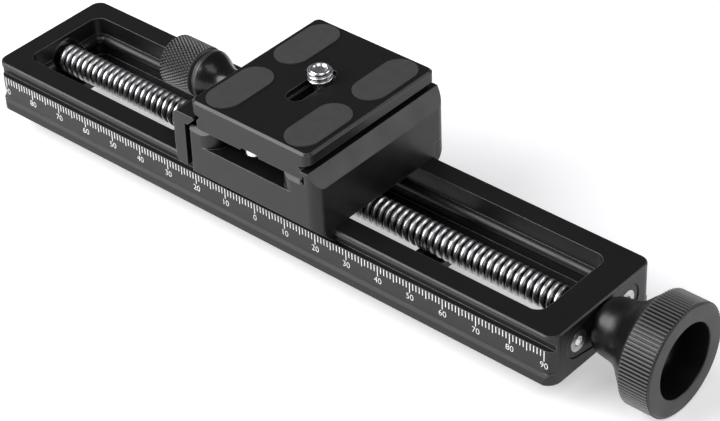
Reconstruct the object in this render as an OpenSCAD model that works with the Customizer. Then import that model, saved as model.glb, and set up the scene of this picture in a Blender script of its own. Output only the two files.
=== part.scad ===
// Macro focusing rail: a carriage driven along a base rail by a lead screw,
// with a quick-release clamp and a camera plate on top.
// X runs along the rail, Y across it and Z up.
// The origin is on the rail's underside, at the middle of its length and width.

/* [Rail] */
// Length of the base rail
rail_l = 185.5; // [180:0.5:200]
// Width of the base rail across its side faces
rail_w = 37.9; // [37.5:0.1:38.5]
// Height of the base rail
rail_h = 14.2; // [14:0.1:15]
// How far the bottom dovetail lip stands out from the side face
lip_out = 0.95; // [0.5:0.05:1.5]
// Depth of the V groove that guides the carriage
groove_d = 1.55; // [1.2:0.05:1.8]
// Width of the window between the side walls
window_w = 26; // [25:0.5:27]
// Thickness of the floor under the window
floor_t = 2.6; // [2:0.1:2.6]
// Width of the openings through the floor
floor_gap_w = 17; // [14:0.5:18]
// Major radius of the 1/4 inch tripod threads
tripod_thread_r = 3.175; // [3:0.025:3.4]

/* [Lead screw] */
// Outer radius of the lead screw
screw_r = 3.85; // [3.7:0.05:3.9]
// Height of the lead screw's axis over the rail's underside
screw_z = 7.8; // [7.7:0.1:8]
// Radius of the journals at the screw's two ends
journal_r = 3; // [2.8:0.1:3]
// Radius of the drive knob's grip ring
knob_r = 14.65; // [13:0.05:15]
// Width of the drive knob's grip ring
knob_ring_w = 8.8; // [8:0.1:10]
// Radius of the dished bore in the drive knob
dish_r = 9.7; // [9:0.1:10]

/* [Carriage] */
// Length of the carriage along the rail
carriage_l = 42.15; // [42:0.05:43]
// Width of the carriage across the rail
carriage_w = 48; // [47:0.5:49]
// Height of the ledges that carry the plate
ledge_z = 29.15; // [29.1:0.05:29.15]
// Width of the channel under the plate
channel_w = 20; // [18:0.5:20]
// Height of the channel's floor
channel_z = 24.4; // [24.2:0.1:24.6]

/* [Clamp] */
// Height of the clamp screw's axis
clamp_z = 24.9; // [24.8:0.1:25]
// Radius of the clamp screw
clamp_screw_r = 2.5; // [2.4:0.1:2.5]
// Radius of the clamp knob's grip
clamp_knob_r = 6.8; // [6.5:0.1:7]
// Thickness of the moving jaw's bar
jaw_t = 3.7; // [3.5:0.1:3.8]

/* [Camera plate] */
// Length of the plate along the rail
plate_l = 38.6; // [38:0.1:39]
// Width of the plate across the rail
plate_w = 47; // [46:0.5:48]
// Height of the plate's top face
plate_top_z = 36.9; // [36.5:0.1:37.2]
// Width of the slot for the camera screw
slot_w = 5; // [4.8:0.1:5.2]
// Radius of the camera screw's thread
camera_thread_r = 3.175; // [3:0.025:3.2]
// Height of the camera screw over the plate
camera_screw_h = 3.4; // [3.2:0.1:5]

/* [Hidden] */
$fn = 64;
cut = 0.5;

// Rail section
rail_x = rail_l / 2;
rail_y = rail_w / 2;
corner_r = 3;
lip_y = rail_y + lip_out;
lip_z = 2.1;
edge = 0.32;
groove_z0 = 9.8;
groove_z1 = groove_z0 + 2 * groove_d;
groove_zm = groove_z0 + groove_d;
groove_y = rail_y - groove_d;

// Rail window, its side beads and its floor
window_x0 = -rail_x + 5.75;
window_x1 = rail_x - 8.55;
window_r = 3;
bead_r = 1.7;
bead_z = 7.5;
bridge_x = 41.4;
bridge_l = 8.2;
thread_depth = 2.1;
floor_gap_x = 79.3;

// Bearings at the two ends of the screw
bush_flange_r = 5.1;
bush_r = 4.5;
bush_x0 = window_x0 - 4.2;
running = 0.04;
bearing_r = 5;
bearing_w = 3;
bearing_x1 = rail_x - 2.25;
bearing_x0 = bearing_x1 - bearing_w;
retainer_t = 2;
retainer_mid_r = 5.8;
retainer_ear_r = 4.3;
retainer_ear_y = 9.4;
retainer_gap = 0.15;
m3_r = 1.5;
m3_head_r = 2.75;
m3_socket = 2.5;

// Drive knob
hub_x = rail_x + 0.35;
knob_x1 = hub_x + 22.7;
knob_x0 = knob_x1 - knob_ring_w;
thread_x0 = window_x0 + 0.1;
thread_x1 = bearing_x0 - 0.4;

// Carriage
car_x0 = -15.85;
car_x1 = car_x0 + carriage_l;
car_y = carriage_w / 2;
under_z = rail_h + 0.08;
skirt_z = 15.85;
side_gap = 0.08;
tongue_gap = 0.11;
tongue_y = groove_y + tongue_gap;
skirt_drop = car_y - skirt_z;
tip_y = (groove_zm + tongue_y + skirt_drop) / 2;
leg_y = rail_y + side_gap;
guide_z = 18.3;
channel_x = 3;
flare_r = 5;
fixed_jaw_x = 20.98;
fixed_jaw_z = 32;
nut_w = 19.2;
nut_x0 = -6;
nut_l = 18;
nut_z0 = 3.3;
nut_screw_y = 7;
guide_screw_z = 16.5;
guide_screw_xs = [-9, 5.2, 19.4];
pin_y = 17;
pin_z = 20.5;
pin_r = 1.5;
spring_r = 3.5;
spring_depth = 6;

// Moving jaw and clamp knob
jaw_x1 = -17;
jaw_x0 = jaw_x1 - jaw_t;
jaw_z0 = 16.7;
jaw_z1 = 32.1;
washer_t = 0.75;
clamp_x1 = jaw_x0 - washer_t - 0.1;

// Camera plate
plate_x = 4.1;
plate_z0 = 29.2;
neck_w = 16;
neck_z = 32.8;
dovetail_w = 17.2;
dovetail_z = 31.6;
slot_x = 4.2;
slot_y0 = -8.7;
slot_y1 = 7.7;
slot_step_z = 35.2;
slot_step = 0.55;
recess_z = 31.8;
slider_w = 12.4;
screw_y = 2.7;
neck_r = 1.8;
pad_t = 0.3;
pad_sink = 0.4;
stop_y = 20.5;
stop_r = 2;

// Mirrors a list of [y, z] points into a closed symmetric outline
function both_sides(right) = concat(
  right,
  [for (i = [len(right) - 1 : -1 : 0]) [-right[i][0], right[i][1]]]
);

// Extrudes a [y, z] outline along X
module along_x(x0, x1) {
  translate([x0, 0, 0]) rotate([90, 0, 90]) linear_extrude(height = x1 - x0) children();
}

// Extrudes an [x, z] outline along Y, centred on Y = 0
module along_y(width) {
  rotate([90, 0, 0]) linear_extrude(height = width, center = true) children();
}

// Round bar along X
module bar_x(x0, x1, y, z, r) {
  translate([x0, y, z]) rotate([0, 90, 0]) cylinder(h = x1 - x0, r = r);
}

// Flat rectangle with round corners
module round_rect(x0, x1, y0, y1, r) {
  translate([x0 + r, y0]) square([x1 - x0 - 2 * r, y1 - y0]);
  translate([x0, y0 + r]) square([x1 - x0, y1 - y0 - 2 * r]);
  for (x = [x0 + r, x1 - r], y = [y0 + r, y1 - r]) translate([x, y]) circle(r = r);
}

// Slab with round corners and a bevel round its top edge
module eased_slab(x0, x1, y0, y1, z0, z1, r, bevel) {
  zb = z1 - bevel;
  translate([0, 0, z0]) linear_extrude(height = zb - z0) round_rect(x0, x1, y0, y1, r);
  along_x(x0 + r, x1 - r) polygon([[y0, zb], [y1, zb], [y1 - bevel, z1], [y0 + bevel, z1]]);
  translate([0, (y0 + y1) / 2, 0]) along_y(y1 - y0 - 2 * r)
    polygon([[x0, zb], [x1, zb], [x1 - bevel, z1], [x0 + bevel, z1]]);
  for (c = [[x1 - r, y1 - r, 0], [x0 + r, y1 - r, 90], [x0 + r, y0 + r, 180], [x1 - r, y0 + r, 270]]) {
    translate([c[0], c[1], 0]) rotate([0, 0, c[2]]) rotate_extrude(angle = 90)
      polygon([[0, zb], [r, zb], [r - bevel, z1], [0, z1]]);
  }
}

// Flat slot outline along Y with round ends
module slot_y_shape(x, y0, y1, w) {
  translate([x - w / 2, y0 + w / 2]) square([w, y1 - y0 - w]);
  for (y = [y0 + w / 2, y1 - w / 2]) translate([x, y]) circle(r = w / 2);
}

// Socket head cap screw along -X, head on top at x = 0
module cap_screw(length, head_h, head_r = m3_head_r, shank_r = m3_r, socket = m3_socket) {
  difference() {
    union() {
      rotate([0, -90, 0]) cylinder(h = head_h, r = head_r);
      rotate([0, -90, 0]) cylinder(h = head_h + length, r = shank_r);
    }
    translate([-head_h / 2, 0, 0]) rotate([0, 90, 0]) cylinder(h = head_h, r = socket / sqrt(3), $fn = 6);
  }
}

// Outline of the base rail across its length
module rail_outline() {
  polygon(both_sides([
    [lip_y - edge, 0],
    [lip_y, edge],
    [lip_y - 0.4, lip_z],
    [rail_y, lip_z + lip_out],
    [rail_y, groove_z0],
    [groove_y, groove_z0],
    [groove_y, groove_zm],
    [rail_y, groove_z1],
    [rail_y, rail_h + cut]
  ]));
}

// Half-round bead that runs round the inside of the window
module window_bead() {
  xa = window_x0 + window_r;
  xb = window_x1 - window_r;
  ya = window_w / 2 - window_r;
  difference() {
    translate([0, 0, bead_z]) {
      for (s = [-1, 1]) bar_x(xa, xb, s * window_w / 2, 0, bead_r);
      for (x = [window_x0, window_x1]) {
        translate([x, ya, 0]) rotate([90, 0, 0]) cylinder(h = 2 * ya, r = bead_r);
      }
      for (c = [[xb, ya, 0], [xa, ya, 90], [xa, -ya, 180], [xb, -ya, 270]]) {
        translate([c[0], c[1], 0]) rotate([0, 0, c[2]])
          rotate_extrude(angle = 90) translate([window_r, 0]) circle(r = bead_r);
      }
    }
    bar_x(window_x0 - 2, window_x1 + 2, 0, screw_z, bush_flange_r + 0.3);
  }
}

// Points of an arc about [cx, cy] from angle a0 to a1
function arc(cx, cy, r, a0, a1, n = 16) = [
  for (i = [0 : n]) let (a = a0 + (a1 - a0) * i / n) [cx + r * cos(a), cy + r * sin(a)]
];

// Outline of the bearing retainer: a round middle joined by straight flanks to two screw ears
module retainer_outline(grow) {
  rm = retainer_mid_r + grow;
  re = retainer_ear_r + grow;
  lean = acos((rm - re) / retainer_ear_y);
  polygon(concat(
    arc(retainer_ear_y, 0, re, -lean, lean),
    arc(0, 0, rm, lean, 180 - lean, 4),
    arc(-retainer_ear_y, 0, re, 180 - lean, 180 + lean),
    arc(0, 0, rm, 180 + lean, 360 - lean, 4)
  ));
}

module rail_body() {
  half_gap = floor_gap_w / 2;
  color("#2b2b2d") difference() {
    union() {
      difference() {
        intersection() {
          along_x(-rail_x, rail_x) rail_outline();
          union() {
            translate([0, 0, -cut]) linear_extrude(height = lip_z + lip_out + cut)
              round_rect(-rail_x, rail_x, -lip_y, lip_y, corner_r + lip_out);
            eased_slab(-rail_x, rail_x, -rail_y, rail_y, lip_z + lip_out, rail_h, corner_r, edge);
          }
        }
        translate([0, 0, floor_t]) linear_extrude(height = rail_h)
          round_rect(window_x0, window_x1, -window_w / 2, window_w / 2, window_r);
      }
      window_bead();
    }
    // openings through the floor, with a bridge at each blind tripod thread
    for (span = [
      [-floor_gap_x, -bridge_x - bridge_l / 2],
      [-bridge_x + bridge_l / 2, bridge_x - bridge_l / 2],
      [bridge_x + bridge_l / 2, floor_gap_x]
    ]) {
      translate([0, 0, -cut]) linear_extrude(height = floor_t + 2 * cut)
        round_rect(span[0], span[1], -half_gap, half_gap, 2);
    }
    for (x = [-bridge_x, bridge_x]) {
      translate([x, 0, -cut]) cylinder(h = thread_depth + cut, r = tripod_thread_r);
    }
    // seats of the far bushing and of the bearing
    bar_x(bush_x0, window_x0 + cut, 0, screw_z, bush_r);
    bar_x(window_x0 - 0.7, window_x0 + cut, 0, screw_z, bush_flange_r);
    bar_x(bearing_x0, rail_x + cut, 0, screw_z, bearing_r);
    bar_x(window_x1 - 2, bearing_x0 + cut, 0, screw_z, screw_r + 0.45);
    // pocket and tapped holes of the retainer
    translate([0, 0, screw_z]) along_x(rail_x - retainer_t - 0.25, rail_x + cut)
      retainer_outline(retainer_gap);
    for (s = [-1, 1]) {
      bar_x(rail_x - 8, rail_x, s * retainer_ear_y, screw_z, m3_r);
    }
  }
}

module far_end_bushing() {
  color("#b08d57") difference() {
    union() {
      bar_x(bush_x0, window_x0, 0, screw_z, bush_r);
      bar_x(window_x0 - 0.7, window_x0 + 0.05, 0, screw_z, bush_flange_r);
    }
    bar_x(bush_x0 - cut, window_x0 + 1, 0, screw_z, journal_r + running);
  }
}

module ball_bearing() {
  color("silver") difference() {
    bar_x(bearing_x0, bearing_x1, 0, screw_z, bearing_r);
    bar_x(bearing_x0 - cut, bearing_x1 + cut, 0, screw_z, journal_r + running);
    // shallow grooves where the two side shields sit
    for (x = [bearing_x0 - cut, bearing_x1 - 0.2]) {
      difference() {
        bar_x(x, x + 0.2 + cut, 0, screw_z, bearing_r - 0.6);
        bar_x(x - cut, x + 2, 0, screw_z, journal_r + 0.6);
      }
    }
  }
}

module bearing_retainer() {
  color("#2f2f31") difference() {
    translate([0, 0, screw_z]) along_x(bearing_x1, bearing_x1 + retainer_t) retainer_outline(0);
    bar_x(bearing_x1 - cut, rail_x, 0, screw_z, journal_r + 1);
    for (s = [-1, 1]) {
      bar_x(bearing_x1 - cut, rail_x, s * retainer_ear_y, screw_z, m3_r + 0.05);
      bar_x(bearing_x1 + 0.8, rail_x, s * retainer_ear_y, screw_z, m3_head_r + 0.1);
    }
  }
}

module retainer_screws() {
  color("silver") for (s = [-1, 1]) {
    translate([bearing_x1 + retainer_t + 0.1, s * retainer_ear_y, screw_z]) cap_screw(4.5, 1.3);
  }
}

module lead_screw() {
  color("#c9cacc") {
    bar_x(bush_x0 + 0.3, thread_x0, 0, screw_z, journal_r);
    bar_x(thread_x0, thread_x1, 0, screw_z, screw_r);
    bar_x(thread_x1, hub_x + 9, 0, screw_z, journal_r);
  }
}

module thrust_shim() {
  color("#b9b9b9") difference() {
    bar_x(thread_x1, thread_x1 + 0.3, 0, screw_z, journal_r + 0.9);
    bar_x(thread_x1 - cut, thread_x1 + 1, 0, screw_z, journal_r);
  }
}

module hub_spacer() {
  color("#b9b9b9") difference() {
    bar_x(bearing_x1 + 0.05, hub_x, 0, screw_z, journal_r + 0.7);
    bar_x(bearing_x1 - cut, hub_x + cut, 0, screw_z, journal_r);
  }
}

module drive_knob() {
  dish_x = knob_x1 - 10.5;
  rim = 0.5;
  color("#3a3a3c") difference() {
    translate([0, 0, screw_z]) rotate([0, 90, 0]) rotate_extrude() polygon([
      [journal_r, hub_x],
      [5.2, hub_x],
      [6.5, hub_x + 0.7],
      [7.25, hub_x + 2],
      [7.6, hub_x + 4.2],
      [7.8, hub_x + 6],
      [8.5, hub_x + 7.8],
      [9.8, hub_x + 9.6],
      [11.6, hub_x + 11.4],
      [knob_r - rim, knob_x0],
      [knob_r, knob_x0 + rim],
      [knob_r, knob_x1 - rim],
      [knob_r - rim, knob_x1],
      [dish_r, knob_x1],
      [dish_r, dish_x + 3],
      [dish_r - 1, dish_x + 1],
      [dish_r - 3, dish_x],
      [journal_r, dish_x]
    ]);
    // tapped holes of the two grub screws
    for (a = [0, 90]) {
      translate([hub_x + 4, 0, screw_z]) rotate([a, 0, 0]) cylinder(h = 12, r = m3_r);
    }
  }
}

module knob_grub_screws() {
  color("#4a4a4a") for (a = [0, 90]) {
    translate([hub_x + 4, 0, screw_z]) rotate([a, 0, 0]) difference() {
      translate([0, 0, journal_r]) cylinder(h = 4, r = m3_r);
      translate([0, 0, journal_r + 2.4]) cylinder(h = 3, r = 0.87, $fn = 6);
    }
  }
}

// Section of the carriage across the rail: the front V tongue is part of it
module carriage_section() {
  polygon([
    [-car_y, fixed_jaw_z],
    [-car_y, skirt_z],
    [-tip_y, tip_y - skirt_drop],
    [-tongue_y, groove_zm],
    [-leg_y, groove_zm + leg_y - tongue_y],
    [-leg_y, under_z],
    [leg_y, under_z],
    [leg_y, guide_z],
    [car_y, guide_z],
    [car_y, fixed_jaw_z]
  ]);
}

// Section of the carriage along the rail: the ledges and the fixed jaw
module carriage_top_section() {
  polygon([
    [car_x0, 0],
    [car_x1, 0],
    [car_x1, 27.6],
    [23.5, fixed_jaw_z],
    [fixed_jaw_x, fixed_jaw_z],
    [22.4, fixed_jaw_z - 22.4 + fixed_jaw_x],
    [22.4, 28.3],
    [20.8, ledge_z],
    [car_x0 + 0.45, ledge_z],
    [car_x0, ledge_z - 0.45]
  ]);
}

// The carriage's outline from above, with wider corners toward the drive knob
module carriage_plan() {
  reach = 6;
  intersection() {
    linear_extrude(height = fixed_jaw_z + 1) round_rect(car_x0, car_x1 + reach, -car_y, car_y, 1);
    linear_extrude(height = fixed_jaw_z + 1) round_rect(car_x0 - reach, car_x1, -car_y, car_y, 3.2);
  }
}

module carriage_body() {
  half = channel_w / 2;
  color("#333335") difference() {
    intersection() {
      along_x(car_x0, car_x1) carriage_section();
      carriage_plan();
      along_y(carriage_w) carriage_top_section();
    }
    // channel under the plate, flared at its two mouths
    translate([0, 0, channel_z]) linear_extrude(height = 10) difference() {
      union() {
        translate([channel_x - half, -car_y - cut]) square([channel_w, carriage_w + 2 * cut]);
        for (y = [-car_y - cut, car_y - flare_r]) translate([channel_x - half - flare_r, y])
          square([channel_w + 2 * flare_r, flare_r + cut]);
      }
      for (s = [-1, 1], x = [channel_x - half - flare_r, channel_x + half + flare_r]) {
        translate([x, s * (car_y - flare_r)]) circle(r = flare_r);
      }
    }
    // chamfers on the ends of the ledges
    for (s = [-1, 1]) {
      translate([0, s * car_y, ledge_z]) rotate([45, 0, 0])
        translate([car_x0 - 1, -0.8, -0.8]) cube([20.8 - car_x0 + 1, 1.6, 1.6]);
    }
    // clamp screw, its spring pocket and the guide pins
    bar_x(car_x0 - cut, 22, 0, clamp_z, clamp_screw_r + 0.05);
    bar_x(car_x0 - cut, car_x0 + spring_depth, 0, clamp_z, spring_r + 0.1);
    for (s = [-1, 1]) bar_x(car_x0 - cut, car_x0 + 11, s * pin_y, pin_z, pin_r + 0.05);
    // screws of the nut, from the channel down
    for (s = [-1, 1]) translate([channel_x, s * nut_screw_y, 0]) {
      translate([0, 0, under_z - cut]) cylinder(h = channel_z, r = m3_r + 0.05);
      translate([0, 0, channel_z - 3.2]) cylinder(h = 6, r = m3_head_r + 0.1);
    }
    // screws of the rear guide
    for (x = guide_screw_xs) translate([x, 14.5, guide_screw_z])
      rotate([-90, 0, 0]) cylinder(h = 10, r = m3_r);
  }
}

module drive_nut() {
  color("#b5914f") difference() {
    translate([nut_x0, -nut_w / 2, nut_z0]) cube([nut_l, nut_w, under_z - nut_z0]);
    bar_x(nut_x0 - cut, nut_x0 + nut_l + cut, 0, screw_z, screw_r + 0.05);
    for (s = [-1, 1]) translate([channel_x, s * nut_screw_y, 8]) cylinder(h = 10, r = m3_r);
  }
}

module nut_screws() {
  color("#4a4a4a") for (s = [-1, 1]) {
    translate([channel_x, s * nut_screw_y, channel_z - 0.2]) rotate([0, -90, 0]) cap_screw(12, 3);
  }
}

module rear_guide() {
  color("#333335") difference() {
    intersection() {
      along_x(car_x0, car_x1) polygon([
        [tongue_y, groove_zm],
        [tip_y, tip_y - skirt_drop],
        [car_y, skirt_z],
        [car_y, guide_z],
        [leg_y, guide_z],
        [leg_y, groove_zm + leg_y - tongue_y]
      ]);
      carriage_plan();
    }
    for (x = guide_screw_xs) translate([x, 14, guide_screw_z]) rotate([-90, 0, 0]) {
      cylinder(h = 12, r = m3_r + 0.05);
      translate([0, 0, 7.4]) cylinder(h = 4, r = 1.75);
    }
  }
}

module guide_screws() {
  color("#4a4a4a") for (x = guide_screw_xs) {
    translate([x, car_y - 0.35, guide_screw_z]) rotate([0, 0, 90])
      cap_screw(6.5, 2.1, head_r = 1.7, shank_r = 1.45, socket = 1.7);
  }
}

module jaw_spring() {
  color("#a8a8a8") difference() {
    bar_x(car_x0 - 0.5, car_x0 + spring_depth, 0, clamp_z, spring_r - 0.1);
    bar_x(car_x0 - 1, car_x0 + spring_depth + cut, 0, clamp_z, clamp_screw_r + 0.2);
  }
}

module moving_jaw() {
  color("#3a3a3c") difference() {
    along_y(carriage_w) polygon(concat(
      arc(jaw_x0 + 1.9, jaw_z0 + 1.9, 1.9, 180, 270, 8),
      [[jaw_x1, jaw_z0], [jaw_x1, 29.35], [-15.9, 29.35]],
      arc(-14.1, jaw_z1 - 0.4, 0.4, -45, 90, 6),
      arc(jaw_x0 + 1.5, jaw_z1 - 1.5, 1.5, 90, 180, 8)
    ));
    bar_x(jaw_x0 - cut, jaw_x1 + cut, 0, clamp_z, clamp_screw_r + 0.2);
    for (s = [-1, 1]) bar_x(jaw_x0 + 1, jaw_x1 + cut, s * pin_y, pin_z, pin_r);
  }
}

module jaw_guide_pins() {
  color("#c9cacc") for (s = [-1, 1]) bar_x(jaw_x0 + 1, car_x0 + 9, s * pin_y, pin_z, pin_r);
}

module clamp_knob() {
  grip = clamp_knob_r;
  x0 = -43.4;
  color("#3a3a3c") translate([0, 0, clamp_z]) rotate([0, 90, 0]) rotate_extrude() polygon([
    [0, x0],
    [grip - 0.5, x0],
    [grip, x0 + 0.5],
    [grip, x0 + 10.1],
    [grip - 0.5, x0 + 10.6],
    [grip - 0.9, x0 + 10.9],
    [grip - 0.9, x0 + 11.6],
    [grip - 0.15, x0 + 11.9],
    [grip - 0.15, x0 + 12.7],
    [6.35, x0 + 13.4],
    [6, x0 + 14.4],
    [5.3, x0 + 15.7],
    [4.6, x0 + 17],
    [4.1, x0 + 18.6],
    [4.05, clamp_x1],
    [clamp_screw_r, clamp_x1],
    [clamp_screw_r, x0 + 8],
    [0, x0 + 8]
  ]);
}

module clamp_screw() {
  color("#c9cacc") bar_x(-35.4, 21.3, 0, clamp_z, clamp_screw_r);
}

module clamp_washer() {
  color("silver") difference() {
    bar_x(clamp_x1, clamp_x1 + washer_t, 0, clamp_z, 5);
    bar_x(clamp_x1 - cut, jaw_x0, 0, clamp_z, clamp_screw_r);
  }
}

module pad_outlines() {
  for (sx = [-1, 1], sy = [-1, 1]) {
    slot_y_shape(plate_x + sx * 12.8, sy * 12.2 - 10, sy * 12.2 + 10, 9.4);
  }
}

module qr_plate() {
  half = plate_l / 2;
  bevel = 0.55;
  color("#2e2e30") difference() {
    intersection() {
      along_y(plate_w) polygon([for (p = both_sides([
        [dovetail_w, plate_z0],
        [dovetail_w, dovetail_z],
        [neck_w, neck_z],
        [half, 33.8],
        [half, plate_top_z + cut]
      ])) [p[0] + plate_x, p[1]]]);
      eased_slab(plate_x - half, plate_x + half, -plate_w / 2, plate_w / 2, plate_z0 - 1, plate_top_z, 2, bevel);
    }
    // slot for the camera screw, with its step and the recess below
    translate([0, 0, slot_step_z]) linear_extrude(height = 5)
      slot_y_shape(slot_x, slot_y0, slot_y1, slot_w);
    translate([0, 0, plate_z0]) linear_extrude(height = 8)
      slot_y_shape(slot_x, slot_y0 + slot_step, slot_y1 - slot_step, slot_w - 2 * slot_step);
    translate([slot_x - slider_w / 2 - 0.1, -12.7, plate_z0 - 1])
      cube([slider_w + 0.2, 24.4, recess_z - plate_z0 + 1]);
    // seats of the pads
    translate([0, 0, plate_top_z - pad_sink]) linear_extrude(height = 2) pad_outlines();
    for (s = [-1, 1]) translate([channel_x, s * stop_y, plate_z0 - 1]) cylinder(h = 5, r = 1.2);
    // shallow finger recess in the front and back bottom edges
    for (s = [-1, 1]) translate([slot_x - 3, s * plate_w / 2 - 0.8, plate_z0 - 1]) cube([6, 1.6, 1.7]);
  }
}

module grip_pads() {
  color("#4b4b4d") translate([0, 0, plate_top_z - pad_sink])
    linear_extrude(height = pad_sink + pad_t) pad_outlines();
}

module plate_stop_screws() {
  color("#e6e6e6") for (s = [-1, 1]) translate([channel_x, s * stop_y, 0]) {
    translate([0, 0, 27.6]) cylinder(h = plate_z0 - 27.6, r = stop_r);
    translate([0, 0, 27.2]) cylinder(h = 0.4, r1 = stop_r - 0.5, r2 = stop_r);
    translate([0, 0, plate_z0 - 0.1]) cylinder(h = 3.6, r = 1.2);
  }
}

module screw_slider() {
  color("#202020") difference() {
    translate([slot_x - slider_w / 2, screw_y - slider_w / 2, recess_z - 0.85]) cube([slider_w, slider_w, 0.8]);
    translate([slot_x, screw_y, recess_z - 2]) cylinder(h = 4, r = neck_r + 0.05);
  }
}

module camera_screw() {
  top_z = plate_top_z + camera_screw_h;
  head_z = plate_z0 + 0.15;
  color("#dcdde0") translate([slot_x, screw_y, 0]) difference() {
    rotate_extrude() polygon([
      [0, head_z],
      [5.5, head_z],
      [5.8, head_z + 0.3],
      [5.8, recess_z - 0.9],
      [neck_r, recess_z - 0.9],
      [neck_r, plate_top_z - 0.9],
      [2.4, plate_top_z + 0.1],
      [camera_thread_r, plate_top_z + 0.35],
      [camera_thread_r, top_z - 0.5],
      [camera_thread_r - 0.5, top_z],
      [2.2, top_z],
      [1.6, top_z - 0.9],
      [0, top_z - 0.9]
    ]);
    // coin slot in the head
    translate([-6, -0.8, head_z - 1]) cube([12, 1.6, 1.8]);
  }
}

rail_body();
far_end_bushing();
ball_bearing();
bearing_retainer();
retainer_screws();
lead_screw();
thrust_shim();
hub_spacer();
drive_knob();
knob_grub_screws();
carriage_body();
drive_nut();
nut_screws();
rear_guide();
guide_screws();
jaw_spring();
moving_jaw();
jaw_guide_pins();
clamp_knob();
clamp_screw();
clamp_washer();
qr_plate();
grip_pads();
plate_stop_screws();
screw_slider();
camera_screw();
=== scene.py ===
import math

import bmesh
import bpy
from mathutils import Matrix, Vector


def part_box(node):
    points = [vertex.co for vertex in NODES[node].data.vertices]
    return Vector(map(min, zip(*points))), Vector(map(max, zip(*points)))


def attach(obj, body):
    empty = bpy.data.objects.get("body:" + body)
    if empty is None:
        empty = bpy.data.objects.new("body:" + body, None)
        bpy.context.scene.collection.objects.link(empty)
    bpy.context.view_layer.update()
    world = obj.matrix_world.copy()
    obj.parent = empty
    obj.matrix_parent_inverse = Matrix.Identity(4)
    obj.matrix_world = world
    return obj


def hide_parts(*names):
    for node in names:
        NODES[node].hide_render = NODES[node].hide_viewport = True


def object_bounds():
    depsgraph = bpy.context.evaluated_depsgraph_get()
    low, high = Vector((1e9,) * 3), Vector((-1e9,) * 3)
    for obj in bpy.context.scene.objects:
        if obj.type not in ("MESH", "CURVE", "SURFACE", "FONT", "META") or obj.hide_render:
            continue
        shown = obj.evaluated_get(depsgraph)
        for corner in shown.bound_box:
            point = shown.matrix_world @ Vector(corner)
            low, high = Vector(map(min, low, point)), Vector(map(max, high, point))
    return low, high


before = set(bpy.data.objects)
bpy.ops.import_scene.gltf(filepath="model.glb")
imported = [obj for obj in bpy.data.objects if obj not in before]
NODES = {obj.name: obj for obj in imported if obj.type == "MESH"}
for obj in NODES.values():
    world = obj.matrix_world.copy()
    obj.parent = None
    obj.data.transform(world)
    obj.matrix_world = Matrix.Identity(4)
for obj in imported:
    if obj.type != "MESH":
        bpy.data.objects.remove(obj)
cad_low, cad_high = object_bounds()
MM = 0.001

# How the bevel shader marks a pale edge, a painted highlight with some edge wear: cosines between the
# rounded and the true normal
EDGE_STARTS = 0.985
EDGE_WEAR_AND_HIGHLIGHT = 0.86
BEVEL_SAMPLES = 6


# ---------------------------------------------------------------- node materials

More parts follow.
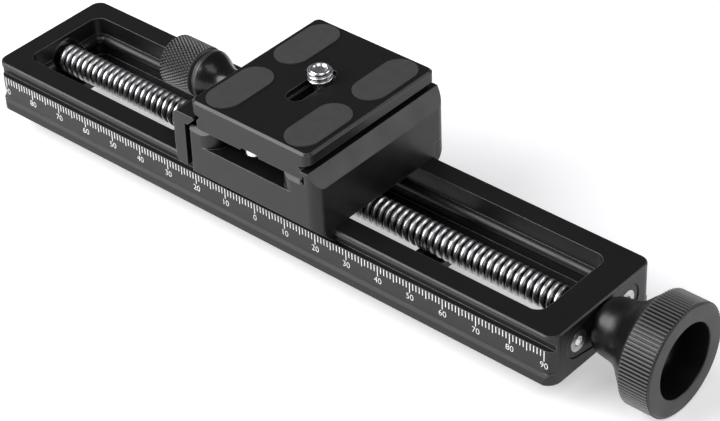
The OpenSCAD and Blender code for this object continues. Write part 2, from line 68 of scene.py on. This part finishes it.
class Shader:
    """A small builder for one procedural material on the Principled shader."""

    def __init__(self, name, colour, roughness, metallic=0.0, ior=1.5):
        self.material = bpy.data.materials.new(name)
        self.material.use_nodes = True
        self.tree = self.material.node_tree
        self.bsdf = self.tree.nodes["Principled BSDF"]
        self.bsdf.inputs["Base Color"].default_value = (*colour, 1)
        self.bsdf.inputs["Roughness"].default_value = roughness
        self.bsdf.inputs["Metallic"].default_value = metallic
        self.bsdf.inputs["IOR"].default_value = ior
        self.coords = self.tree.nodes.new("ShaderNodeTexCoord").outputs["Object"]
        self.height = None
        self.colour = None

    def link(self, source, target):
        self.tree.links.new(source, target)

    def vector_math(self, operation, source, amount=None):
        """A vector sum on a socket, with a constant as its second term."""
        node = self.tree.nodes.new("ShaderNodeVectorMath")
        node.operation = operation
        self.link(source, node.inputs[0])
        if amount is not None:
            node.inputs[1].default_value = amount
        return node

    def noise(self, grain_mm, detail=2.0, stretch=(1, 1, 1)):
        """Noise in object space with features about grain_mm across."""
        node = self.tree.nodes.new("ShaderNodeTexNoise")
        node.inputs["Scale"].default_value = 1 / (grain_mm * MM)
        node.inputs["Detail"].default_value = detail
        place = self.tree.nodes.new("ShaderNodeMapping")
        place.inputs["Scale"].default_value = stretch
        self.link(self.coords, place.inputs["Vector"])
        self.link(place.outputs["Vector"], node.inputs["Vector"])
        return node.outputs["Fac"]

    def ramp(self, value, low, high, start=0.3, end=0.7):
        """Maps a value from start to end onto the range from low to high."""
        node = self.tree.nodes.new("ShaderNodeMapRange")
        node.inputs["From Min"].default_value = start
        node.inputs["From Max"].default_value = end
        node.inputs["To Min"].default_value = low
        node.inputs["To Max"].default_value = high
        self.link(value, node.inputs["Value"])
        return node.outputs["Result"]

    def vary_colour(self, value, dark, light, start=0.3, end=0.7):
        """Mixes two colours by a value. With dark None, the colour so far is the dark one."""
        node = self.tree.nodes.new("ShaderNodeMix")
        node.data_type = "RGBA"
        if dark is None:
            self.link(self.colour, node.inputs[6])
        else:
            node.inputs[6].default_value = (*dark, 1)
        node.inputs[7].default_value = (*light, 1)
        self.link(self.ramp(value, 0, 1, start, end), node.inputs["Factor"])
        self.colour = node.outputs[2]
        self.link(self.colour, self.bsdf.inputs["Base Color"])

    def soft_edges(self, radius_mm, wear_and_highlight=None):
        """Rounds the edges' shading, and lightens them to a paler colour: a painted highlight along the
        edges, partly edge wear. Comes before any bump.
        """
        edge = self.tree.nodes.new("ShaderNodeBevel")
        edge.samples = BEVEL_SAMPLES
        edge.inputs["Radius"].default_value = radius_mm * MM
        self.height = edge.outputs["Normal"]
        if wear_and_highlight is not None:
            face = self.tree.nodes.new("ShaderNodeNewGeometry")
            turn = self.vector_math("DOT_PRODUCT", self.height)
            self.link(face.outputs["Normal"], turn.inputs[1])
            # Painted highlight along the edges, partly edge wear: the colour turns paler where the rounded
            # normal leaves the true one
            self.vary_colour(turn.outputs["Value"], None, wear_and_highlight, EDGE_STARTS, EDGE_WEAR_AND_HIGHLIGHT)

    def off_axis(self, centre, axis="X"):
        """Distance in mm from a line along an axis, through centre given in mm."""
        on_x = axis == "X"
        offset = Vector((0, *centre) if on_x else (*centre, 0)) * MM
        across = Vector((0, 1, 1) if on_x else (1, 1, 0)) / MM
        place = self.vector_math("SUBTRACT", self.coords, offset)
        flat = self.vector_math("MULTIPLY", place.outputs["Vector"], across)
        return self.vector_math("LENGTH", flat.outputs["Vector"]).outputs["Value"]

    def vary_roughness(self, value, low, high):
        self.link(self.ramp(value, low, high), self.bsdf.inputs["Roughness"])

    def bump(self, value, depth_mm, strength=1.0):
        """Adds one layer of surface relief, depth_mm deep."""
        node = self.tree.nodes.new("ShaderNodeBump")
        node.inputs["Distance"].default_value = depth_mm * MM
        node.inputs["Strength"].default_value = strength
        self.link(value, node.inputs["Height"])
        if self.height is not None:
            self.link(self.height, node.inputs["Normal"])
        self.height = node.outputs["Normal"]
        self.link(self.height, self.bsdf.inputs["Normal"])


def grey(value):
    return (value, value, value * 1.02)


def anodised(name, tone, roughness, edge_mm=0.24, wear_and_highlight=0.11):
    """Bead-blasted black anodising: a fine even grain, a faint cloud in its gloss, and pale edges that are a
    painted highlight, partly edge wear.
    """
    s = Shader(name, grey(tone), roughness, ior=1.45)
    cloud = s.noise(6.0, detail=3)
    grain = s.noise(0.32, detail=2)
    s.vary_colour(grain, grey(tone * 0.75), grey(tone * 1.3))
    s.soft_edges(edge_mm, grey(wear_and_highlight))
    s.vary_roughness(cloud, roughness - 0.04, roughness + 0.05)
    s.bump(s.noise(0.09, detail=1), 0.004, 0.5)
    s.bump(grain, 0.006, 0.3)
    return s.material


def turned(name, tone, roughness, edge_mm=0.15, wear_and_highlight=0.08):
    """Turned black anodising with fine rings round the X axis."""
    s = Shader(name, grey(tone), roughness, ior=1.45)
    rings = s.noise(0.12, detail=1, stretch=(1, 0.02, 0.02))
    grain = s.noise(0.3)
    s.vary_colour(grain, grey(tone * 0.85), grey(tone * 1.2))
    # Pale edges: a painted highlight, partly edge wear
    s.soft_edges(edge_mm, grey(wear_and_highlight))
    s.vary_roughness(rings, roughness - 0.04, roughness + 0.05)
    s.bump(rings, 0.002, 0.3)
    s.bump(grain, 0.003, 0.3)
    return s.material


def gripped(name, tone, roughness, centre, root_mm, crest_mm, crest_highlight_tone):
    """Knurled black anodising, with painted shade in the cuts and a painted highlight on the crests: darker
    towards the axis, paler out at the crests.
    """
    s = Shader(name, grey(tone), roughness, ior=1.45)
    depth = s.off_axis(centre)
    # Painted shade and highlight: near black at the root radius, paler at the crest radius
    s.vary_colour(depth, grey(tone * 0.15), grey(crest_highlight_tone), root_mm, crest_mm)
    s.vary_roughness(s.noise(0.4), roughness - 0.06, roughness + 0.08)
    s.bump(s.noise(0.15), 0.004, 0.5)
    return s.material


def steel(name, tone, roughness):
    """Bright steel with fine tool marks and a little tarnish."""
    s = Shader(name, grey(tone), roughness, metallic=1.0)
    lines = s.noise(0.15, detail=3)
    s.soft_edges(0.08)
    s.vary_colour(s.noise(1.6, detail=4), grey(tone * 0.8), grey(min(1, tone * 1.12)))
    s.vary_roughness(lines, roughness * 0.7, roughness * 1.35)
    s.bump(lines, 0.002, 0.4)
    return s.material


def thread_steel(name, centre, axis, root_mm, crest_mm):
    """Rolled steel thread with rounded crests, and painted shade: the colour darkens to near black towards
    the groove root.
    """
    s = Shader(name, grey(0.5), 0.3, metallic=1.0)
    margin_mm = 0.12
    depth = s.off_axis(centre, axis)
    # Painted shade: near black at the root, bright steel at the crest
    s.vary_colour(depth, grey(0.015), grey(0.72), root_mm + margin_mm, crest_mm - margin_mm)
    s.vary_roughness(s.noise(0.5, detail=3), 0.26, 0.36)
    s.bump(s.noise(0.2, detail=2), 0.002, 0.12)
    return s.material


def bronze(name):
    """Bearing bronze, a little darkened."""
    s = Shader(name, (0.5, 0.36, 0.18), 0.34, metallic=1.0)
    s.vary_colour(s.noise(1.2, detail=4), (0.36, 0.24, 0.11), (0.56, 0.41, 0.2))
    s.vary_roughness(s.noise(0.2, detail=2), 0.28, 0.42)
    s.bump(s.noise(0.15), 0.003, 0.4)
    return s.material


def rubber(name, tone):
    """Matt moulded rubber with a fine pebble and a trace of dust."""
    s = Shader(name, grey(tone), 0.82, ior=1.45)
    pebble = s.noise(0.18, detail=2)
    s.vary_colour(s.noise(2.5, detail=5), grey(tone * 0.92), grey(tone * 1.1))
    s.vary_roughness(pebble, 0.74, 0.9)
    s.bump(pebble, 0.012, 0.5)
    return s.material


def nylon(name, tone):
    """Moulded nylon with a slight mottle."""
    s = Shader(name, grey(tone), 0.5)
    s.vary_colour(s.noise(1.0, detail=3), grey(tone * 0.8), grey(tone * 1.2))
    s.bump(s.noise(0.1), 0.004, 0.4)
    return s.material


def marking(name):
    """White laser marking, slightly uneven."""
    s = Shader(name, grey(0.78), 0.6)
    s.vary_colour(s.noise(0.3, detail=3), grey(0.6), grey(0.86), 0.25, 0.6)
    s.bump(s.noise(0.06), 0.002, 0.5)
    return s.material


# The pale edges on these materials are a painted highlight, partly edge wear
BLACK = anodised("black_anodised", 0.0055, 0.36, wear_and_highlight=0.16)
BLACK_FINE = anodised("black_anodised_fine", 0.0055, 0.33, edge_mm=0.2, wear_and_highlight=0.19)
KNOB = turned("knob_anodised", 0.02, 0.4)
HUB = turned("hub_anodised", 0.0035, 0.35)
NECK = turned("neck_anodised", 0.004, 0.24)
# Painted highlight: the ring's edges are made much paler so that the ring reads as a bright band
RING = turned("ring_bright", 0.03, 0.3, wear_and_highlight=0.3)
STAINLESS = steel("stainless", 0.66, 0.24)
PALE_STEEL = steel("pale_steel", 0.9, 0.4)
DARK_STEEL = steel("dark_steel", 0.3, 0.2)
OXIDE = steel("black_oxide", 0.07, 0.36)
BRONZE = bronze("bronze")
RUBBER = rubber("grip_rubber", 0.042)
NYLON = nylon("black_nylon", 0.025)
WHITE = marking("scale_white")


# ---------------------------------------------------------------- meshes

def add_piece(name, verts, faces, material, body, smooth_angle=35.0):
    """One closed mesh, in metres, riding on a CAD body."""
    mesh = bpy.data.meshes.new(name)
    mesh.from_pydata(verts, [], faces)
    mesh.validate()
    mesh.materials.append(material)
    for face in mesh.polygons:
        face.use_smooth = True
    piece = bpy.data.objects.new(name, mesh)
    bpy.context.scene.collection.objects.link(piece)
    mesh.set_sharp_from_angle(angle=math.radians(smooth_angle))
    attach(piece, body)
    return piece


def axis_point(along, u, v, axis):
    """A point in metres, from mm along an axis and across it."""
    return Vector((along, u, v) if axis == "X" else (u, v, along)) * MM


def assign(piece, *rules):
    """Adds each rule's material, and gives it the faces whose centre in mm passes the rule's test."""
    first = len(piece.data.materials)
    for material, _ in rules:
        piece.data.materials.append(material)
    for face in piece.data.polygons:
        centre = face.center / MM
        for index, (_, test) in enumerate(rules):
            if test(centre):
                face.material_index = first + index
                break


def lathe(profile, segments, axis_y, axis_z, radius=None, axis="X"):
    """Turns (along, radius) points about an axis. radius(along, r, angle) may shape each point.
    A profile end at radius 0 closes to a point. Angles run right-handed about the axis."""
    verts, rings = [], []
    for along, r in profile:
        if r == 0:
            rings.append([len(verts)] * segments)
            angles = [0.0]
        else:
            rings.append(list(range(len(verts), len(verts) + segments)))
            angles = [2 * math.pi * i / segments for i in range(segments)]
        for angle in angles:
            reach = radius(along, r, angle) if radius and r else r
            u, v = reach * math.cos(angle), reach * math.sin(angle)
            verts.append(axis_point(along, axis_y + u, axis_z + v, axis))
    faces = []
    for a, b in zip(rings, rings[1:]):
        for i in range(segments):
            j = (i + 1) % segments
            face = [a[i], b[i], b[j], a[j]] if axis == "X" else [a[i], a[j], b[j], b[i]]
            face = list(dict.fromkeys(face))
            if len(face) > 2:
                faces.append(face)
    return verts, faces


def close_ring(profile, segments, *args, **kwargs):
    """As lathe, for a profile that ends where it starts, such as a ring's section."""
    verts, faces = lathe(profile + profile[:1], segments, *args, **kwargs)
    last = len(verts) - segments
    faces = [[i - last if i >= last else i for i in face] for face in faces]
    return verts[:last], faces


def smooth_path(points, steps):
    """A Catmull-Rom curve through 2-D points."""
    path = []
    padded = [points[0]] + points + [points[-1]]
    for p0, p1, p2, p3 in zip(padded, padded[1:], padded[2:], padded[3:]):
        for k in range(steps):
            t = k / steps
            path.append(tuple(
                0.5 * (2 * b + (c - a) * t + (2 * a - 5 * b + 4 * c - d) * t ** 2
                       + (3 * b - a - 3 * c + d) * t ** 3)
                for a, b, c, d in zip(p0, p1, p2, p3)
            ))
    path.append(points[-1])
    return path


def arc_path(cx, cy, r, start, end, steps=6):
    """Points of an arc whose start and end are in degrees."""
    angles = [math.radians(start + (end - start) * i / steps) for i in range(steps + 1)]
    return [(cx + r * math.cos(a), cy + r * math.sin(a)) for a in angles]


def box_mm(node):
    """A CAD node's lowest and highest corners, in mm."""
    low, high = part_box(node)
    return low / MM, high / MM


# ---------------------------------------------------------------- threads and knobs

def thread_height(phase, crest, root):
    """Height from 0 to 1 of a trapezoidal thread with soft corners, over one pitch."""
    p = abs((phase % 1.0) - 0.5) * 2
    t = min(1, max(0, (p - crest) / (1 - crest - root)))
    return 1 - t * t * (3 - 2 * t)


def helix(start, end, pitch, radii, fades, centre, axis, flats, segments, rows):
    """A right-hand thread whose mesh lines follow the helix, fading to the root at both ends.
    radii are root and crest, fades the run-in and run-out, flats the shares of crest and root."""
    (root_r, crest_r), (run_in, run_out), (crest, root) = radii, fades, flats
    step = pitch / rows
    last = round((end - start) / step) + rows
    verts, faces = [], []
    for i in range(-rows, last + 1):
        lift = thread_height(i / rows, crest, root)
        for j in range(segments):
            turn = j / segments
            along = min(end, max(start, start + i * step + pitch * turn))
            fade = min(1, (along - start) / run_in, (end - along) / run_out)
            reach = root_r + (crest_r - root_r) * lift * max(0, fade)
            u, v = reach * math.cos(2 * math.pi * turn), reach * math.sin(2 * math.pi * turn)
            verts.append(axis_point(along, centre[0] + u, centre[1] + v, axis))
    total = len(verts) // segments
    for i in range(total - 1):
        here, there = i * segments, (i + 1) * segments
        for j in range(segments - 1):
            faces.append([here + j, there + j, there + j + 1, here + j + 1])
        if i + rows + 1 < total:
            far = (i + rows) * segments
            faces.append([here + segments - 1, there + segments - 1, far + segments, far])
    return verts, faces


def join(*parts):
    """Joins several lists of vertices and faces into one."""
    verts, faces = [], []
    for some_verts, some_faces in parts:
        base = len(verts)
        verts += some_verts
        faces += [[base + k for k in face] for face in some_faces]
    return verts, faces


def sew(piece, gap_mm=0.0005):
    """Merges the points where parts of a mesh meet, and turns its faces outward."""
    shape = bmesh.new()
    shape.from_mesh(piece.data)
    bmesh.ops.remove_doubles(shape, verts=shape.verts, dist=gap_mm * MM)
    bmesh.ops.recalc_face_normals(shape, faces=shape.faces)
    shape.to_mesh(piece.data)
    shape.free()


def make_lead_screw():
    low, high = box_mm("lead_screw")
    shim_low, _ = box_mm("thrust_shim")
    _, bush_high = box_mm("far_end_bushing")
    axis_z = (low.z + high.z) / 2
    crest_r = (high.z - low.z) / 2
    pitch, depth, journal_r, ease, segments = 2.0, 0.8, 3.0, 0.4, 44
    root_r, collar_r, collar_w = crest_r - depth, crest_r - 0.25, 0.4
    x0, x1 = bush_high.x + 0.1, shim_low.x - collar_w
    before = [(low.x, 0), (low.x, journal_r - ease), (low.x + ease, journal_r)]
    before += [(x0, journal_r), (x0, root_r)]
    after = [(x1, root_r), (x1, collar_r), (x1 + collar_w, collar_r), (x1 + collar_w, journal_r)]
    after += [(high.x - ease, journal_r), (high.x, journal_r - ease), (high.x, 0)]
    verts, faces = join(
        lathe(before, segments, 0, axis_z),
        helix(x0, x1, pitch, (root_r, crest_r), (1.0, 2.0), (0, axis_z), "X", (0.2, 0.08), segments, 12),
        lathe(after, segments, 0, axis_z),
    )
    # Painted shade in the thread grooves, darker towards the root
    metal = thread_steel("lead_screw_steel", (0, axis_z), "X", root_r, crest_r)
    piece = add_piece("lead_screw_threaded", verts, faces, metal, "lead_screw", 60)
    sew(piece)
    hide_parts("lead_screw")


def make_drive_knob():
    low, high = box_mm("drive_knob")
    axis_z = (low.z + high.z) / 2
    ring_r = (high.z - low.z) / 2
    ring_w, ribs, depth = 8.8, 92, 0.55
    bore_r, dish_r, chamfer, rim_r, dish_corner = 3.0, 9.7, 0.45, 0.35, 3.1
    gap, flank, near = 0.34, 0.3, 0.01
    x0, x1 = low.x, high.x
    back = x1 - ring_w
    knurl0, knurl1 = back + chamfer, x1 - chamfer

    def reach(x, r, angle):
        if r < ring_r - chamfer or x < knurl0 - near or x > knurl1 + near:
            return r
        wave = abs(((angle * ribs / (2 * math.pi)) % 1.0) - 0.5) * 2
        rib = min(1, max(0, (wave - gap) / flank))
        return r - depth * (1 - rib * rib * (3 - 2 * rib))

    hub = smooth_path([
        (x0, 5.2), (x0 + 0.55, 6.35), (x0 + 2.0, 7.22), (x0 + 4.2, 7.6), (x0 + 6.0, 7.85),
        (x0 + 7.8, 8.5), (x0 + 9.6, 9.8), (x0 + 11.4, 11.6), (x0 + 13.0, 13.1),
        (back, ring_r - chamfer - 0.25)
    ], 5)
    grip = [(knurl0 - 0.12, ring_r - depth - 0.02), (knurl0, ring_r)]
    grip += [(knurl0 + (knurl1 - knurl0) * i / 12, ring_r) for i in range(1, 13)]
    front = [(knurl1 + 0.05, ring_r - depth * 0.6)] + arc_path(x1 - 0.3, ring_r - 0.75, 0.3, 70, 0, 4)[:-1]
    front += [(x1, ring_r - 0.8), (x1, dish_r + rim_r)]
    front += arc_path(x1 - rim_r, dish_r + rim_r, rim_r, -10, -90, 4)
    dish = [(x1 - 4, dish_r), (x1 - 7.3, dish_r)]
    dish += arc_path(x1 - 7.3, dish_r - dish_corner, dish_corner, 90, 180, 8)
    dish += [(x1 - 10.4, bore_r + 0.4), (x1 - 10.2, bore_r), (x0 + 9.2, bore_r)]
    profile = [(x0, bore_r)] + hub + grip + front + dish
    verts, faces = close_ring(profile, ribs * 6, 0, axis_z, radius=reach)
    piece = add_piece("drive_knob_ribbed", verts, faces, KNOB, "lead_screw", 50)
    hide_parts("drive_knob")

    def off_axis(centre):
        return math.hypot(centre.y, centre.z - axis_z)

    # Radii for the painted shade in the rib cuts and the painted highlight on the rib crests
    dark_r, pale_r = ring_r - depth * 0.7, ring_r - depth * 0.25
    ribbed = gripped("knob_ribs", 0.012, 0.4, (0, axis_z), dark_r, pale_r, 0.085)
    assign(
        piece,
        (HUB, lambda c: c.x < back - 0.4 or off_axis(c) < dish_r + 0.02),
        (ribbed, lambda c: off_axis(c) > ring_r - depth - 0.1 and knurl0 < c.x < knurl1),
    )


def make_clamp_knob():
    low, high = box_mm("clamp_knob")
    axis_z = (low.z + high.z) / 2
    grip_r = (high.z - low.z) / 2
    x0, x1 = low.x, high.x
    starts, depth, slope, sharp, near = 44, 0.55, 0.65, 1.1, 0.01
    knurl0, knurl1, rows = x0 + 0.5, x0 + 10.1, 84
    bore_r, bore_x = 2.5, x0 + 8
    skin_r = 2 * bore_r
    ring0, ring1 = x0 + 11.65, x0 + 12.8

    def reach(x, r, angle):
        if x < knurl0 - near or x > knurl1 + near or r < grip_r - near:
            return r
        turn = angle * starts / (2 * math.pi)
        lean = (x - x0) * slope * starts / (2 * math.pi * grip_r)
        ridges = [abs(((turn + s * lean) % 1.0) - 0.5) * 2 for s in (-1, 1)]
        return r - depth * (1 - min(1, min(ridges) * sharp))

    knurl = [(knurl0 + (knurl1 - knurl0) * i / rows, grip_r) for i in range(rows + 1)]
    neck = smooth_path([
        (x0 + 13.0, 6.5), (x0 + 13.7, 6.25), (x0 + 14.6, 5.8), (x0 + 15.7, 5.15),
        (x0 + 17.0, 4.5), (x0 + 18.6, 4.12), (x1, 4.05)
    ], 5)
    profile = [(x0, 0), (x0, grip_r - 1.6), (x0, grip_r - 0.55), (knurl0 - 0.02, grip_r - 0.12)] + knurl
    profile += [
        (x0 + 10.2, grip_r - 0.1), (x0 + 10.6, grip_r - 0.5), (x0 + 10.8, grip_r - 0.95),
        (x0 + 11.6, grip_r - 0.95), (x0 + 11.75, grip_r - 0.3), (x0 + 11.9, grip_r - 0.15),
        (x0 + 12.6, grip_r - 0.15), (x0 + 12.8, grip_r - 0.25)
    ]
    profile += neck + [(x1, bore_r), (bore_x, bore_r), (bore_x, 0)]
    verts, faces = lathe(profile, starts * 12, 0, axis_z, reach)
    piece = add_piece("clamp_knob_knurled", verts, faces, KNOB, "clamp_knob", 48)
    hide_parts("clamp_knob")

    def off_axis(centre):
        return math.hypot(centre.y, centre.z - axis_z)

    # Radii for the painted shade in the knurl cuts and the painted highlight on the diamonds
    dark_r, pale_r = grip_r - depth * 0.8, grip_r - depth * 0.3
    knurled = gripped("knob_knurl", 0.01, 0.36, (0, axis_z), dark_r, pale_r, 0.13)
    assign(
        piece,
        (RING, lambda c: ring0 < c.x < ring1 and off_axis(c) > skin_r),
        (NECK, lambda c: c.x > x0 + 12.7),
        (knurled, lambda c: knurl0 < c.x < knurl1 and off_axis(c) > grip_r - depth - 0.1),
    )


def make_camera_screw():
    low, high = box_mm("camera_screw")
    cx, cy = (low.x + high.x) / 2, (low.y + high.y) / 2
    _, plate_high = box_mm("qr_plate")
    slider_low, _ = box_mm("screw_slider")
    pitch, crest_r, neck_r, head_r, segments = 1.27, 3.175, 1.8, 5.75, 56
    root_r = crest_r - 0.55
    t0, t1 = plate_high.z + 0.15, high.z - 0.3
    head_top = slider_low.z - 0.05
    before = [(low.z, 0), (low.z, head_r - 0.35), (low.z + 0.3, head_r), (head_top - 0.2, head_r)]
    before += [(head_top, head_r - 0.2), (head_top, neck_r), (plate_high.z - 1.4, neck_r)]
    before += [(plate_high.z - 0.9, 1.95), (plate_high.z + 0.03, 2.25), (t0, root_r)]
    after = [(t1, root_r), (high.z - 0.14, 2.55), (high.z - 0.03, 2.4), (high.z, 2.2), (high.z - 0.04, 2.02)]
    after += [(high.z - 0.3, 1.85), (high.z - 0.7, 1.45), (high.z - 0.82, 0.7), (high.z - 0.84, 0)]
    verts, faces = join(
        lathe(before, segments, cx, cy, axis="Z"),
        helix(t0, t1, pitch, (root_r, crest_r), (0.25, 0.3), (cx, cy), "Z", (0.16, 0.22), segments, 14),
        lathe(after, segments, cx, cy, axis="Z"),
    )
    piece = add_piece("camera_screw_threaded", verts, faces, STAINLESS, "camera_screw", 50)
    sew(piece)
    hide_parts("camera_screw")
    # Painted shade in the thread grooves, darker towards the root
    thread = thread_steel("camera_thread_steel", (cx, cy), "Z", root_r - 0.2, crest_r)
    assign(piece, (thread, lambda c: t0 < c.z < t1 and math.hypot(c.x - cx, c.y - cy) > root_r - 0.3))


def make_jaw_spring():
    low, high = box_mm("jaw_spring")
    axis_z = (low.z + high.z) / 2
    wire_r, turns, sides, per_turn = 0.34, 6, 8, 28
    coil_r = (high.z - low.z) / 2 - wire_r
    steps = turns * per_turn
    verts, faces = [], []
    for i in range(steps + 1):
        angle = 2 * math.pi * i / per_turn
        x = low.x + wire_r + (high.x - low.x - 2 * wire_r) * i / steps
        out = Vector((0, math.cos(angle), math.sin(angle)))
        for k in range(sides):
            a = 2 * math.pi * k / sides
            spot = Vector((x, 0, axis_z)) + out * (coil_r + wire_r * math.cos(a))
            verts.append((spot + Vector((wire_r * math.sin(a), 0, 0))) * MM)
    for i in range(steps):
        for k in range(sides):
            n = (k + 1) % sides
            faces.append([i * sides + k, i * sides + n, (i + 1) * sides + n, (i + 1) * sides + k])
    faces.append(list(range(sides))[::-1])
    faces.append([steps * sides + k for k in range(sides)])
    piece = add_piece("jaw_spring_coil", verts, faces, STAINLESS, "carriage", 70)
    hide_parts("jaw_spring")


# ---------------------------------------------------------------- scale

def make_scale():
    """Ticks every millimetre and a number every ten, on the rail's front face."""
    low, high = box_mm("rail_body")
    lip, line_z, number_drop = 0.95, 9.68, 5.03
    face_y = low.y + lip
    reach, width, proud, sunk = 90, 0.24, 0.02, 0.05
    tick_mm, five_mm, ten_mm = 1.85, 2.35, 3.0
    verts, faces = [], []
    for i in range(-reach, reach + 1):
        length = ten_mm if i % 10 == 0 else five_mm if i % 5 == 0 else tick_mm
        x0, x1 = i - width / 2, i + width / 2
        z0, z1 = line_z - length, line_z
        base = len(verts)
        for y in (face_y + sunk, face_y - proud):
            verts += [Vector(p) * MM for p in ((x0, y, z0), (x1, y, z0), (x1, y, z1), (x0, y, z1))]
        quads = [(0, 3, 2, 1), (4, 5, 6, 7), (0, 1, 5, 4), (1, 2, 6, 5), (2, 3, 7, 6), (3, 0, 4, 7)]
        faces += [[base + k for k in quad] for quad in quads]
    add_piece("scale_ticks", verts, faces, WHITE, "rail", 30)
    verts, faces = [], []
    for value in range(-reach, reach + 1, 10):
        curve = bpy.data.curves.new("number", "FONT")
        curve.body = str(abs(value))
        curve.size = 2.45
        curve.align_x = "CENTER"
        curve.extrude = 0.03
        curve.offset = -0.03
        text = bpy.data.objects.new("number", curve)
        bpy.context.scene.collection.objects.link(text)
        bpy.context.view_layer.update()
        flat = text.evaluated_get(bpy.context.evaluated_depsgraph_get()).to_mesh()
        base = len(verts)
        for vertex in flat.vertices:
            x, up, out = vertex.co
            verts.append(Vector((value + x, face_y - out + 0.01, line_z - number_drop + up)) * MM)
        faces += [[base + k for k in face.vertices] for face in flat.polygons]
        text.to_mesh_clear()
        bpy.data.objects.remove(text)
    add_piece("scale_numbers", verts, faces, WHITE, "rail", 30)


# ---------------------------------------------------------------- CAD nodes kept as they are

FINISH = {
    "rail_body": BLACK,
    "far_end_bushing": DARK_STEEL,
    "ball_bearing": STAINLESS,
    "bearing_retainer": BLACK_FINE,
    "retainer_screws": STAINLESS,
    "thrust_shim": STAINLESS,
    "hub_spacer": STAINLESS,
    "knob_grub_screws": OXIDE,
    "carriage_body": BLACK,
    "drive_nut": BRONZE,
    "nut_screws": OXIDE,
    "rear_guide": BLACK,
    "guide_screws": OXIDE,
    "moving_jaw": BLACK,
    "jaw_guide_pins": STAINLESS,
    "clamp_screw": STAINLESS,
    "clamp_washer": STAINLESS,
    "qr_plate": BLACK_FINE,
    "grip_pads": RUBBER,
    "plate_stop_screws": PALE_STEEL,
    "screw_slider": NYLON,
}


# ---------------------------------------------------------------- stage, light and camera

def make_stage():
    """A pale floor, softly lit from below as on a light table, just under the drive knob."""
    s = Shader("floor_pale", grey(0.8), 0.75)
    s.vary_colour(s.noise(40, detail=3), grey(0.78), grey(0.82))
    s.bsdf.inputs["Emission Color"].default_value = (1, 1, 1, 1)
    s.bsdf.inputs["Emission Strength"].default_value = 0.4
    half, z = 3.0, cad_low.z - 0.0002
    mesh = bpy.data.meshes.new("floor")
    corners = [(-half, -half, z), (half, -half, z), (half, half, z), (-half, half, z)]
    mesh.from_pydata(corners, [], [(0, 1, 2, 3)])
    mesh.materials.append(s.material)
    floor = bpy.data.objects.new("floor", mesh)
    bpy.context.scene.collection.objects.link(floor)


def area_light(name, towards, distance, size, power, target):
    """A softbox in the direction towards from target, facing it."""
    data = bpy.data.lights.new(name, "AREA")
    data.shape = "RECTANGLE"
    data.size, data.size_y = size
    data.energy = power
    lamp = bpy.data.objects.new(name, data)
    bpy.context.scene.collection.objects.link(lamp)
    way = Vector(towards).normalized()
    lamp.location = target + way * distance
    lamp.rotation_euler = way.to_track_quat("Z", "Y").to_euler()


def make_light():
    centre = (cad_low + cad_high) / 2
    area_light("key", (-0.5, -0.62, 0.64), 0.95, (0.8, 0.6), 11, centre)
    area_light("low_front", (-0.55, -0.83, 0.17), 1.0, (0.9, 0.26), 2.6, centre)
    area_light("right_back", (0.74, 0.59, 0.36), 1.0, (0.7, 0.55), 3.4, centre)
    area_light("overhead", (0.6, -0.3, 1.0), 1.2, (0.7, 0.7), 3.5, centre)
    world = bpy.data.worlds.new("studio")
    world.use_nodes = True
    world.node_tree.nodes["Background"].inputs["Color"].default_value = (0.95, 0.97, 1.0, 1)
    world.node_tree.nodes["Background"].inputs["Strength"].default_value = 0.15
    bpy.context.scene.world = world
    bpy.context.scene.view_settings.view_transform = "Standard"


# Degrees, and mm in the CAD frame
CAMERA_YAW = -42.455
CAMERA_DOWN = 36.887
CAMERA_ROLL = -2.439
CAMERA_LENS = 126.88
CAMERA_SENSOR = 36.0
CAMERA_PLACE = (357.6, -371.3, 382.5)


def make_camera():
    yaw, down, roll = (math.radians(a) for a in (CAMERA_YAW, CAMERA_DOWN, CAMERA_ROLL))
    forward = Vector((math.sin(yaw) * math.cos(down), math.cos(yaw) * math.cos(down), -math.sin(down)))
    level = Vector((math.cos(yaw), -math.sin(yaw), 0))
    upright = level.cross(forward)
    right = level * math.cos(roll) + upright * math.sin(roll)
    up = upright * math.cos(roll) - level * math.sin(roll)
    data = bpy.data.cameras.new("camera")
    data.sensor_fit = "HORIZONTAL"
    data.sensor_width = CAMERA_SENSOR
    data.lens = CAMERA_LENS
    data.clip_start = 0.01
    camera = bpy.data.objects.new("camera", data)
    bpy.context.scene.collection.objects.link(camera)
    turn = Matrix((right, up, -forward)).transposed().to_4x4()
    camera.matrix_world = Matrix.Translation(Vector(CAMERA_PLACE) * MM) @ turn
    bpy.context.scene.camera = camera


make_camera()
make_stage()
make_light()
for node_name, finish in FINISH.items():
    NODES[node_name].data.materials.clear()
    NODES[node_name].data.materials.append(finish)
make_lead_screw()
make_drive_knob()
make_clamp_knob()
make_camera_screw()
make_jaw_spring()
make_scale()
